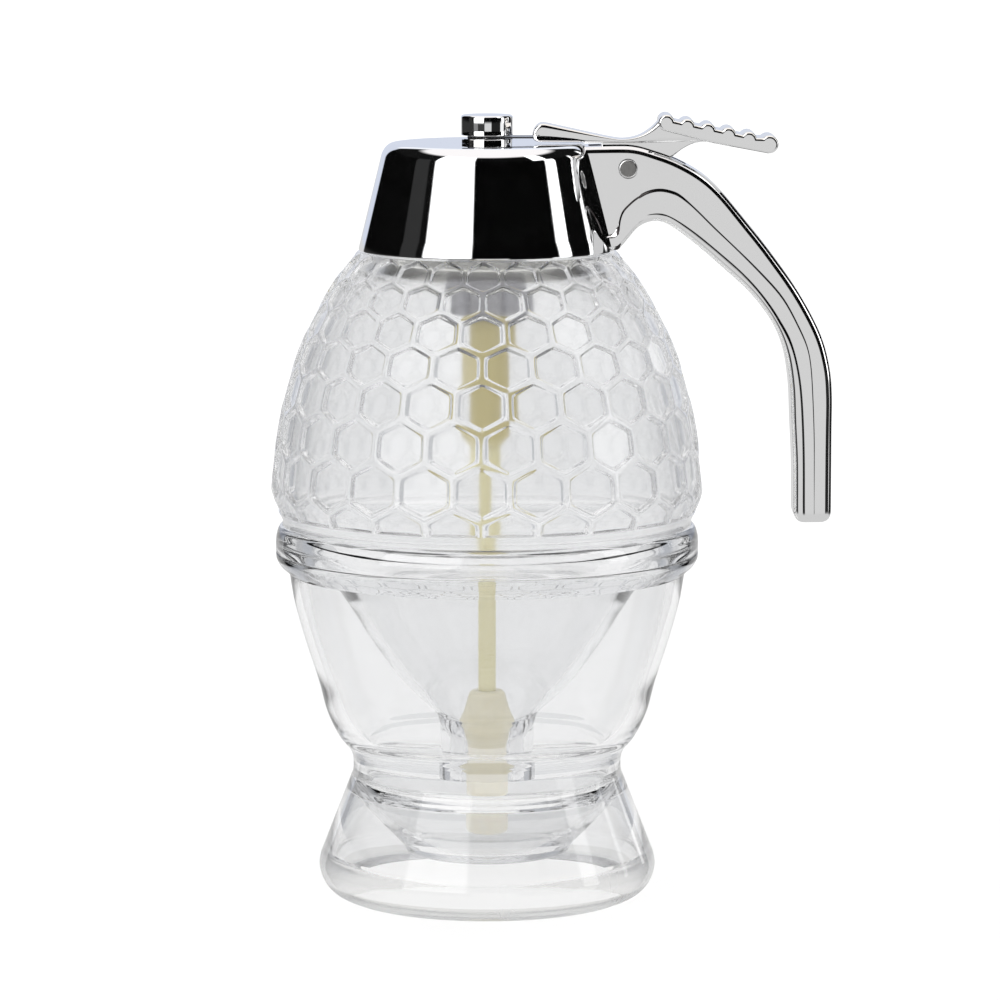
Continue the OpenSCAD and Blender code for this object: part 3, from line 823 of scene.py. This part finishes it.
def edge_path(parts):
    """Rounded or chamfered edge as (width, drop), from the side face to the rim."""
    w = d = 0.0
    out = [(0.0, 0.0)]
    for p in parts:
        if p[0] == "line":
            _, t, ln = p
            w += math.cos(math.radians(t)) * ln
            d += math.sin(math.radians(t)) * ln
            out.append((w, d))
        else:
            _, t0, t1, r, n = p
            for i in range(n):
                t = t0 + (t1 - t0) * (i + 0.5) / n
                ln = r * math.radians(abs(t1 - t0)) / n
                w += math.cos(math.radians(t)) * ln
                d += math.sin(math.radians(t)) * ln
                out.append((w, d))
    return out


OUTER_EDGE = edge_path([("arc", 0, 14, 0.5, 3), ("line", 14, 0.60), ("arc", 14, 38.5, 0.12, 3),
                        ("line", 38.5, 0.22), ("arc", 38.5, 50, 0.12, 2), ("line", 50, 0.52),
                        ("arc", 50, 90, 0.28, 4)])
INNER_EDGE = edge_path([("arc", 0, 86, 1.05, 9)])


def section(length, w_l, w_b, y_a, d_l, s_l, bead, w_s):
    """Half the handle's section, from the middle of the outer rim to the middle of the inner one."""
    we, de = OUTER_EDGE[-1]
    wi, di = INNER_EDGE[-1]
    y_b = y_a + d_l
    y_c = y_b + bead
    w_b = min(w_b, length - wi - 0.62)
    w_l = min(w_l, w_b - s_l / 2 - 0.62)
    pts = [(0, 0), (0, 1.3), (0, 2.59), (0, 3.6), (0, y_a - de - 0.2)]
    pts += [(we - w, y_a - d) for w, d in OUTER_EDGE[::-1]]
    a0, a1 = we + 0.14, w_l - s_l / 2 - 0.16
    for f in (0.0, 0.33, 0.66, 1.0):
        pts.append((a0 + (a1 - a0) * f, y_a))
    for f, g in ((-0.5, 0.0), (-0.25, 0.23), (0, 0.5), (0.25, 0.77), (0.5, 1.0)):
        pts.append((w_l + s_l * f, y_a + d_l * g))
    b0, b1 = w_l + s_l / 2 + 0.14, w_b - 0.16
    for f in (0.0, 0.5, 1.0):
        pts.append((b0 + (b1 - b0) * f, y_b))
    for f, g in ((0.0, 0.0), (0.25, 0.16), (0.5, 0.5), (0.75, 0.84), (1.0, 1.0)):
        pts.append((w_b + f * w_s, y_b + bead * g))
    crest = length - wi
    pts.append((crest - 0.08, y_c))
    pts += [(crest + w, y_c - d) for w, d in INNER_EDGE]
    pts += [(length, y_c - di - 0.2), (length, 3.4), (length, 1.6), (length, 0)]
    return pts


def handle():
    n = 104
    stations = []
    for i in range(n + 1):
        t = i / n * (len(PAIRS) - 1)
        ix, iz, u = at(PAIRS, t)
        stations.append(((ix, iz), at(OUT, u), t))
    cuts = [cross(s[0], s[1], RELIEF) for s in stations]
    f_l = [c and c[0] for c in cuts]
    sines = [c[1] if c else None for c in cuts]
    sines = [x or next((y for y in sines[i:] if y), 1.0) for i, x in enumerate(sines)]
    for _ in range(4):
        sines = [sines[0]] + [sum(sines[k - 1:k + 2]) / 3 for k in range(1, len(sines) - 1)] + [sines[-1]]
    cuts = [cross(s[0], s[1], BEAD) for s in stations]
    f_b = [c and c[0] for c in cuts]
    lengths = [math.dist(s[0], s[1]) for s in stations]

    def fill(f):
        known = [i for i, x in enumerate(f) if x is not None]
        for i, x in enumerate(f):
            if x is None:
                j = min(known, key=lambda k: abs(k - i))
                f[i] = f[j] * lengths[j] / lengths[i]
        for _ in range(3):
            f = [f[0]] + [(f[k - 1] + 2 * f[k] + f[k + 1]) / 4 for k in range(1, len(f) - 1)] + [f[-1]]
        return f
    f_l, f_b = fill(f_l), fill(f_b)
    rows = []
    for (pi, po, t), fl, fb, ln, sine in zip(stations, f_l, f_b, lengths, sines):
        d_l = lerp_table([(0, 0.30), (4.0, 0.32), (5.0, 0.13), (6.2, 0.10), (7.2, 0.03), (9.0, 0.024),
                          (10.6, 0.055), (12.0, 0.06), (16, 0.05)], t)
        s_l = lerp_table([(0, 0.38), (4.0, 0.38), (5.0, 0.42), (6.2, 0.42), (7.2, 0.3), (16, 0.36)], t)
        s_l = min(s_l / max(sine, 0.2), 1.5)
        bead = lerp_table([(0, 0), (4.6, 0.0), (6.0, 0.035), (9.5, 0.04), (11.5, 0.12), (16, 0.14)], t)
        w_s = lerp_table([(0, 0.2), (9.5, 0.24), (11.5, 0.6), (16, 0.65)], t)
        y_a = lerp_table([(0, 6.0), (5, 6.0), (8, 5.9), (16, 5.78)], t)
        rows.append((po, pi, section(ln, ln * (1 - fl), ln * (1 - fb), y_a, d_l, s_l, bead, w_s), 1.0))
    # rounded lower end
    base_pts, base_len = rows[-1][2], lengths[-1]
    for z, x0, x1, dy in ((82.0, 63.72, 71.5, 0), (81.2, 63.75, 71.48, 0.03), (80.5, 63.92, 71.35, 0.15),
                          (79.9, 64.25, 71.08, 0.4), (79.45, 64.7, 70.65, 0.8), (79.15, 65.25, 70.1, 1.35),
                          (79.02, 65.9, 69.45, 2.1)):
        k = (x1 - x0) / base_len
        rows.append(((x1, z), (x0, z), [(w * k, y) for w, y in base_pts], (6 - dy) / 6))
    b = bmesh.new()
    rings = []
    for po, pi, pts, ky in rows:
        d = Vector((pi[0] - po[0], pi[1] - po[1])).normalized()
        half = [(po[0] + d.x * w, y * ky, po[1] + d.y * w) for w, y in pts]
        loop = half + [(x, -y, z) for x, y, z in half[-2:0:-1]]
        rings.append([b.verts.new(c) for c in loop])
    m = len(rings[0])
    for p, q in zip(rings, rings[1:]):
        for i in range(m):
            b.faces.new((p[i], p[(i + 1) % m], q[(i + 1) % m], q[i]))
    b.faces.new(rings[0])
    b.faces.new(rings[-1][::-1])
    bmesh.ops.recalc_face_normals(b, faces=b.faces)
    return new_object("handle_visual", b)


grip = handle()
slot_cut = plate("slot_cut", [(41.8, 160), (21, 160), (21, 150.6)]
                 + curve([(24.4, 148.7), (29.1, 147.9), (33.4, 148.7), (37, 150.9), (41, 152.2)], 6), 5.2)
boolean(grip, slot_cut, "DIFFERENCE")
boolean(grip, rod_y("pin_cut", PIVOT[0], PIVOT[1], 2.08, 16), "DIFFERENCE")
done(grip, "lid", M_HANDLE, ["handle"], 33)


def off_line(x, z, line):
    """Distance of a point from a line of points."""
    best = 99.0
    for (ax, az), (bx, bz) in zip(line, line[1:]):
        dx, dz = bx - ax, bz - az
        k = min(max(((x - ax) * dx + (z - az) * dz) / max(dx * dx + dz * dz, 1e-9), 0), 1)
        best = min(best, math.hypot(x - ax - k * dx, z - az - k * dz))
    return best


# painted shade: the step round the arch gets a near-black chrome that stands in for the dark reflection line along its
# seam
grip.data.materials.append(M_SEAM_PAINTED_SHADE)
for f in grip.data.polygons:
    x, y, z = f.center * 1000
    if x < 41.5 and abs(y) > 5 and 0.05 < abs(f.normal.y) < 0.97 and off_line(x, z, RELIEF) < 0.5:
        f.material_index = 1

pin = plate("pivot_pin_visual", arc(PIVOT, 1.93, 0, 354, 59), 11.9, 0.36, 5)
done(pin, "lid", M_PIN, ["pivot_pin"], 40)
pin.data.materials.append(M_HANDLE)
for f in pin.data.polygons:
    if abs(f.normal.y) < 0.96:
        f.material_index = 1

# ------------------------------------------------------------------ trigger
PAD_A, PAD_B = Vector((37.0, 162.2)), Vector((58.2, 157.8))
pad_u = (PAD_B - PAD_A).normalized()
pad_n = Vector((-pad_u.y, pad_u.x))
pitch = (PAD_B - PAD_A).length / 5


def pad_point(s, n):
    p = PAD_A + pad_u * s + pad_n * n
    return (p.x, p.y)


def pad_outline():
    out = [pad_point(-0.30, -1.66), (46.4, 158.1), pad_point(5 * pitch + 0.1, -1.9)]
    top = 0.75
    r = 1.85
    out += [pad_point(5 * pitch + r * math.cos(a), r * math.sin(a)) for a in
            [math.radians(x) for x in range(-80, 158, 12)]]
    r = 1.7
    a0 = math.degrees(math.asin(top / r))
    for i in range(4, 0, -1):
        out += [pad_point(i * pitch + r * math.cos(math.radians(x)), r * math.sin(math.radians(x)))
                for x in [a0 + (180 - 2 * a0) * k / 10 for k in range(11)]]
    out += [pad_point(r * math.cos(math.radians(x)), r * math.sin(math.radians(x)))
            for x in [a0 + (250 - a0) * k / 17 for k in range(18)]]
    return out


def arm_height(x):
    return lerp_table([(9.4, 3.0), (12, 3.7), (18, 2.5), (26, 0.85), (29, 0.8), (31.8, 1.5), (34.3, 3.1), (36, 4)], x)


def arm_round(x, z):
    """The arm's lower edge is rounded further in than its upper one."""
    h = arm_height(x)
    return (3.1 - 1.5 * smoothstep(-0.2, 0.3, (z - 158.1) / h - 0.45)) * h / 3.7


arm = plate("trigger_visual", [(10.6, 158.15)]
            + curve([(10.6, 158.15), (9.7, 158.6), (9.45, 159.6), (9.9, 160.9), (10.9, 161.8), (12, 161.9)], 4)
            + curve([(12, 161.9), (18, 160.6), (26, 158.9), (29, 158.75), (31.8, 159.5), (34.3, 161.2), (36, 163.2)], 5)
            + [(44, 161), (47, 158.6)]
            + curve([(43.5, 158.3), (36, 158.1), (31, 157.95), (24, 158.05), (16, 158.1), (10.6, 158.15)], 4)[:-1],
            7.0, 0.45, 7, scale=arm_round)
tongue = plate("tongue", [(23.6, 158.5), (23.6, 153.2), (24.6, 151.2), (25.6, 150.3)]
               + arc(PIVOT, 4.3, 215, 325, 14) + [(36.2, 153.2)]
               + curve([(36.2, 153.2), (38.5, 155.2), (40.6, 156.8), (43.2, 157.95), (46.6, 158.2)], 5)
               + [(47, 159.5), (36, 160.5), (30, 158.6)], 4.6, 0.3)
pad = plate("pad", pad_outline(), 12.0, 0.5)
boolean(arm, tongue, "UNION")
boolean(arm, pad, "UNION")
boolean(arm, rod_y("pin_hole", PIVOT[0], PIVOT[1], 1.9, 20), "DIFFERENCE")
done(arm, "trigger", M_HANDLE, ["trigger_lever"], 33)
# painted reflection tone: the trigger's upward faces take the warmer chrome copy
arm.data.materials.append(M_PAD_PAINTED_TONE)
for f in arm.data.polygons:
    if f.normal.z > 0.3:
        f.material_index = 1

# ------------------------------------------------------------------ materials of the CAD pieces that stay
for name, material in (("lid_seal", M_SEAL), ("lid_liner", M_LINER), ("liner_screws", M_STEEL),
                       ("guide_bush", M_BUSH), ("collar_nut", M_LID), ("handle_screws", M_STEEL),
                       ("lift_fork", M_FORK), ("lift_spindle", M_STEEL)):
    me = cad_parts[name].data
    if not me.materials:
        me.materials.append(material)
    for i in range(len(me.materials)):
        me.materials[i] = material

# ------------------------------------------------------------------ floor
bm = bmesh.new()
disc = [ring(bm, r, -0.05, 96) for r in (0, 120, 260, 420)]
for a, b in zip(disc, disc[1:]):
    skin(bm, a, b)
bmesh.ops.recalc_face_normals(bm, faces=bm.faces)
floor = new_object("floor", bm)
for v in floor.data.vertices:
    v.co *= 0.001
for f in floor.data.polygons:
    f.use_smooth = True
mf, tf, sf = nodes_of("pale floor")
sf.inputs["Specular IOR Level"].default_value = 0.1
tinted(tf, sf, (0.875, 0.875, 0.875), (0.885, 0.885, 0.885), noise(tf, 30, 3))
t_r = span(tf, noise(tf, 60, 3), 0.7, 0.85)
tf.links.new(t_r, sf.inputs["Roughness"])
floor.data.materials.append(mf)
floor.visible_glossy = False

# ------------------------------------------------------------------ studio light
world = bpy.data.worlds.new("studio")
bpy.context.scene.world = world
world.use_nodes = True
wt = world.node_tree
wt.nodes.clear()


def math_node(op, a, b=None, clamp=False):
    n = wt.nodes.new("ShaderNodeMath")
    n.operation = op
    n.use_clamp = clamp
    for i, x in enumerate((a, b)):
        if x is None:
            continue
        if isinstance(x, (int, float)):
            n.inputs[i].default_value = x
        else:
            wt.links.new(x, n.inputs[i])
    return n.outputs[0]


def ramp(src, stops, soft=0.7):
    """Light level round the horizon: (start in degrees, level) with soft edges."""
    n = wt.nodes.new("ShaderNodeValToRGB")
    cr = n.color_ramp
    cr.interpolation = "LINEAR"
    pts = []
    for i, (a, c) in enumerate(stops):
        if i == 0:
            pts.append((0.0, c))
            continue
        prev = stops[i - 1][1]
        pts.append(((a - soft + 180) / 360, prev))
        pts.append(((a + soft + 180) / 360, c))
    if len(pts) > 32:
        raise ValueError("too many stops")
    while len(cr.elements) < len(pts):
        cr.elements.new(0.5)
    for e, (x, c) in zip(cr.elements, sorted(pts, key=lambda q: q[0])):
        e.position = min(max(x, 0), 1)
        c = c if isinstance(c, tuple) else (c, c, c)
        e.color = (*c, 1)
    wt.links.new(src, n.inputs["Fac"])
    return n.outputs["Color"]


def mix(fac, a, b):
    n = wt.nodes.new("ShaderNodeMix")
    n.data_type = "RGBA"
    for sock, x in ((n.inputs[0], fac), (n.inputs[6], a), (n.inputs[7], b)):
        if isinstance(x, (int, float)):
            sock.default_value = x if sock.type == "VALUE" else (x, x, x, 1)
        elif isinstance(x, tuple):
            sock.default_value = (*x, 1)
        else:
            wt.links.new(x, sock)
    return n.outputs[2]


def step(src, a, b):
    n = wt.nodes.new("ShaderNodeMapRange")
    n.interpolation_type = "SMOOTHSTEP"
    n.inputs["From Min"].default_value = a
    n.inputs["From Max"].default_value = b
    wt.links.new(src, n.inputs["Value"])
    return n.outputs["Result"]


coord = wt.nodes.new("ShaderNodeTexCoord")
xyz = wt.nodes.new("ShaderNodeSeparateXYZ")
wt.links.new(coord.outputs["Generated"], xyz.inputs["Vector"])
azimuth = math_node("ARCTAN2", xyz.outputs["X"], math_node("MULTIPLY", xyz.outputs["Y"], -1.0))
turn = math_node("ADD", math_node("MULTIPLY", azimuth, 1 / (2 * math.pi)), 0.5)
height = math_node("MULTIPLY", math_node("ARCSINE", xyz.outputs["Z"]), 180 / math.pi)

COOL = (0.60, 0.64, 0.74)
LIT = 2.2


def scaled(stops):
    """Levels over LIT, because a colour ramp ends at one."""
    return [(a, tuple(x / LIT for x in c) if isinstance(c, tuple) else c / LIT) for a, c in stops]


side_cards = ramp(turn, scaled([(-180, COOL), (-146, 0.002), (-85, 0.028), (-67, 0.004), (-59, LIT), (-14, 0.001),
                                (69, LIT), (82, 0.002), (108, 1.6), (112, 0.005), (134, 1.6), (138, 0.02),
                                (146, COOL)]))
high_cards = ramp(turn, scaled([(-180, (0.85, 0.87, 0.92)), (-150, 0.006), (-59, LIT), (-14, 0.003), (55, LIT),
                                (73, 0.006), (150, (0.85, 0.87, 0.92))]))
low_cards = ramp(turn, scaled([(-180, 0.62), (-146, 0.03), (-60, 0.22), (-40, 0.04), (-10, 0.60), (20, 0.015),
                               (62, 0.85), (80, 0.015), (146, 0.66)]))
low_cards = mix(step(height, -30.0, -14.0), 0.57 / LIT, low_cards)
glossy = mix(step(height, -3.0, 0.5), low_cards, side_cards)
glossy = mix(step(height, 24.0, 30.0), glossy, high_cards)
glossy = mix(step(height, 46.0, 54.0), glossy, (0.92 / LIT, 0.89 / LIT, 0.885 / LIT))
bright = wt.nodes.new("ShaderNodeVectorMath")
bright.operation = "SCALE"
wt.links.new(glossy, bright.inputs[0])
bright.inputs["Scale"].default_value = LIT
glossy = bright.outputs[0]
BACK, GREY, SIDE_TONE = (0.80, 0.805, 0.81), (0.46, 0.475, 0.505), (0.70, 0.705, 0.715)
MILD, SHADE = (0.655, 0.66, 0.675), (0.48, 0.485, 0.50)
through = ramp(turn, [(-180, BACK), (-161, SHADE), (-151, GREY), (-129, 0.07), (-121, SIDE_TONE), (-60, GREY), (-46, 0.07),
                      (-38, 0.66), (38, 0.07), (46, GREY), (60, SIDE_TONE), (121, 0.07), (129, GREY),
                      (151, MILD), (160, BACK)], 2.5)
through = mix(step(height, 16.0, 34.0), through, (0.86, 0.86, 0.87))
through = mix(step(height, -34.0, -16.0), (0.86, 0.86, 0.86), through)

path = wt.nodes.new("ShaderNodeLightPath")
colour = mix(step(height, -20.0, 70.0), 0.96, 1.12)
colour = mix(path.outputs["Is Glossy Ray"], colour, glossy)
colour = mix(path.outputs["Is Transmission Ray"], colour, through)
colour = mix(path.outputs["Is Camera Ray"], colour, 1.0)
back = wt.nodes.new("ShaderNodeBackground")
wt.links.new(colour, back.inputs["Color"])
back.inputs["Strength"].default_value = 1.12
out = wt.nodes.new("ShaderNodeOutputWorld")
wt.links.new(back.outputs["Background"], out.inputs["Surface"])

# ------------------------------------------------------------------ camera
cam_data = bpy.data.cameras.new("camera")
cam = bpy.data.objects.new("camera", cam_data)
bpy.context.scene.collection.objects.link(cam)
cam.location = (0.00271, -1.085, 0.2277)
cam.rotation_euler = (math.radians(82.414), 0, 0)
cam_data.sensor_width = 36
cam_data.lens = 188.7
cam_data.clip_start = 0.05
cam_data.clip_end = 20
bpy.context.scene.camera = cam
bpy.context.scene.view_settings.view_transform = "Standard"
bpy.context.scene.view_settings.look = "None"
# thick clear walls need deep light paths
cyc = bpy.context.scene.cycles
cyc.max_bounces, cyc.transmission_bounces, cyc.glossy_bounces = 36, 36, 16

bpy.context.view_layer.update()
